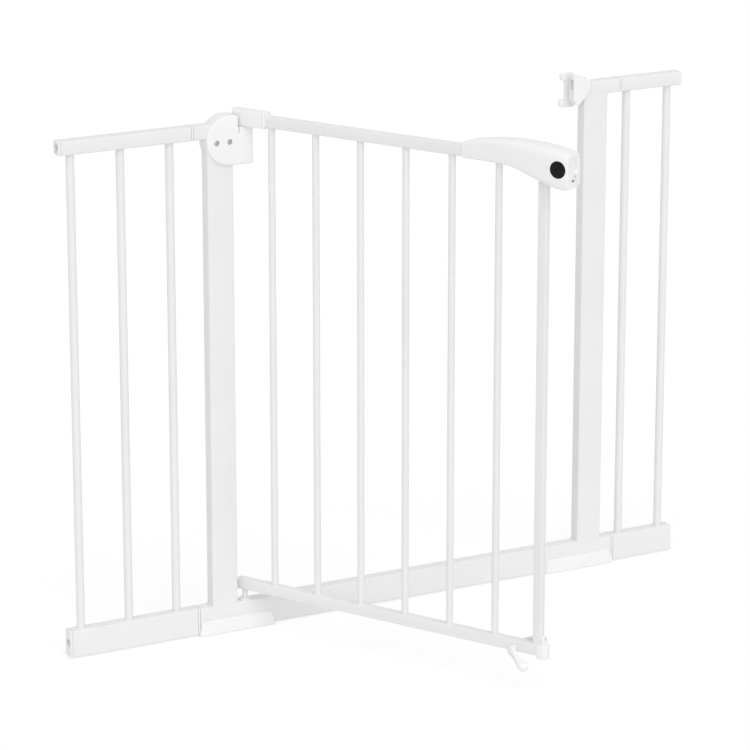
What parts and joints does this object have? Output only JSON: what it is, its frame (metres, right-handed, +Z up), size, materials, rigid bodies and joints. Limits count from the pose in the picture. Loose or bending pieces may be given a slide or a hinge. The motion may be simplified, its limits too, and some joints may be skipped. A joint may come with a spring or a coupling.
{
  "type": "safety baby gate",
  "caption": "Pressure-fit safety gate: a tube frame with extension panels, a barred door on hinge pins, a push-button latch in the handle and a foot stop.",
  "frame": {"origin": "where the door's hinge line meets the floor, on the sole of the left foot", "axes": "+X along the gate from the hinge to the latch, +Z up, -Y the side that the door opens towards"},
  "size_m": [1.007, 0.5071, 0.7826],
  "materials": {
    "white_steel": "satin powder coat",
    "white_plastic": "fine moulded grain",
    "black_plastic": "satin",
    "dark_screw": "dark zinc",
    "bare_pin": "bright zinc",
    "spring_steel": "drawn wire"
  },
  "bodies": {
    "frame": {"threshold_bar": "white_steel", "upright_left": "white_steel", "upright_right": "white_steel", "top_stub_left": "white_steel", "top_stub_right": "white_steel", "left_bottom_rail": "white_steel", "left_top_rail": "white_steel", "left_bar_1": "white_steel", "left_bar_2": "white_steel", "left_bar_3": "white_steel", "right_bottom_rail": "white_steel", "right_top_rail": "white_steel", "right_bar_1": "white_steel", "right_bar_2": "white_steel", "socket_left_bottom": "white_plastic", "socket_left_top": "white_plastic", "socket_right_bottom": "white_plastic", "socket_right_top": "white_plastic", "coupling_left_bottom": "white_plastic", "coupling_left_top": "white_plastic", "coupling_right_bottom": "white_plastic", "coupling_right_top": "white_plastic", "foot_left": "white_plastic", "foot_right": "white_plastic", "hinge_housing_front": "white_plastic", "hinge_housing_back": "white_plastic", "top_hinge_bush": "white_plastic", "bottom_hinge_bush": "white_plastic", "catch_block": "white_plastic", "catch_striker": "white_plastic", "hinge_screws": "dark_screw", "catch_screws": "dark_screw"},
    "door": {"door_top_rail": "white_steel", "door_bottom_rail": "white_steel", "door_end_post": "white_steel", "door_bar_1": "white_steel", "door_bar_2": "white_steel", "door_bar_3": "white_steel", "door_bar_4": "white_steel", "door_bar_5": "white_steel", "door_bar_6": "white_steel", "hinge_arm": "white_plastic", "arm_collar": "white_plastic", "hinge_end_plug": "white_plastic", "free_end_cap": "white_plastic", "handle_front": "white_plastic", "handle_back": "white_plastic", "handle_end_plate": "white_plastic", "top_hinge_pin": "bare_pin", "bottom_hinge_pin": "white_steel", "handle_screws": "dark_screw", "latch_spring": "spring_steel"},
    "button": {"release_button": "black_plastic"},
    "latch": {"latch_tongue": "white_plastic"},
    "foot_stop": {"stop_lever": "white_plastic", "stop_lever_pin": "bare_pin", "stop_flag": "white_plastic"}
  },
  "joints": [
    {"name": "door_swing", "type": "hinge", "parent": "frame", "child": "door", "pos_m": [0, 0, 0.4], "axis": [0, 0, 1], "range_deg": [-28.7, 61.3]},
    {"name": "button_press", "type": "slide", "parent": "door", "child": "button", "axis": [0.8771, 0.4802, 0], "range_m": [0, 0.004], "stiffness_N_per_m": 400, "springref_m": -0.002},
    {"name": "latch_retract", "type": "slide", "parent": "door", "child": "latch", "axis": [-0.4802, 0.8771, 0], "range_m": [0, 0.006], "stiffness_N_per_m": 300, "springref_m": -0.003, "deforming": ["latch_spring"]},
    {"name": "stop_lever_turn", "type": "hinge", "parent": "door", "child": "foot_stop", "pos_m": [0.2209, -0.40349, 0.0615], "axis": [0.8771, 0.4802, 0], "range_deg": [0, 90]}
  ],
  "couplings": [
    {"joint": "latch_retract", "follows": "button_press", "ratio": 1.5}
  ]
}
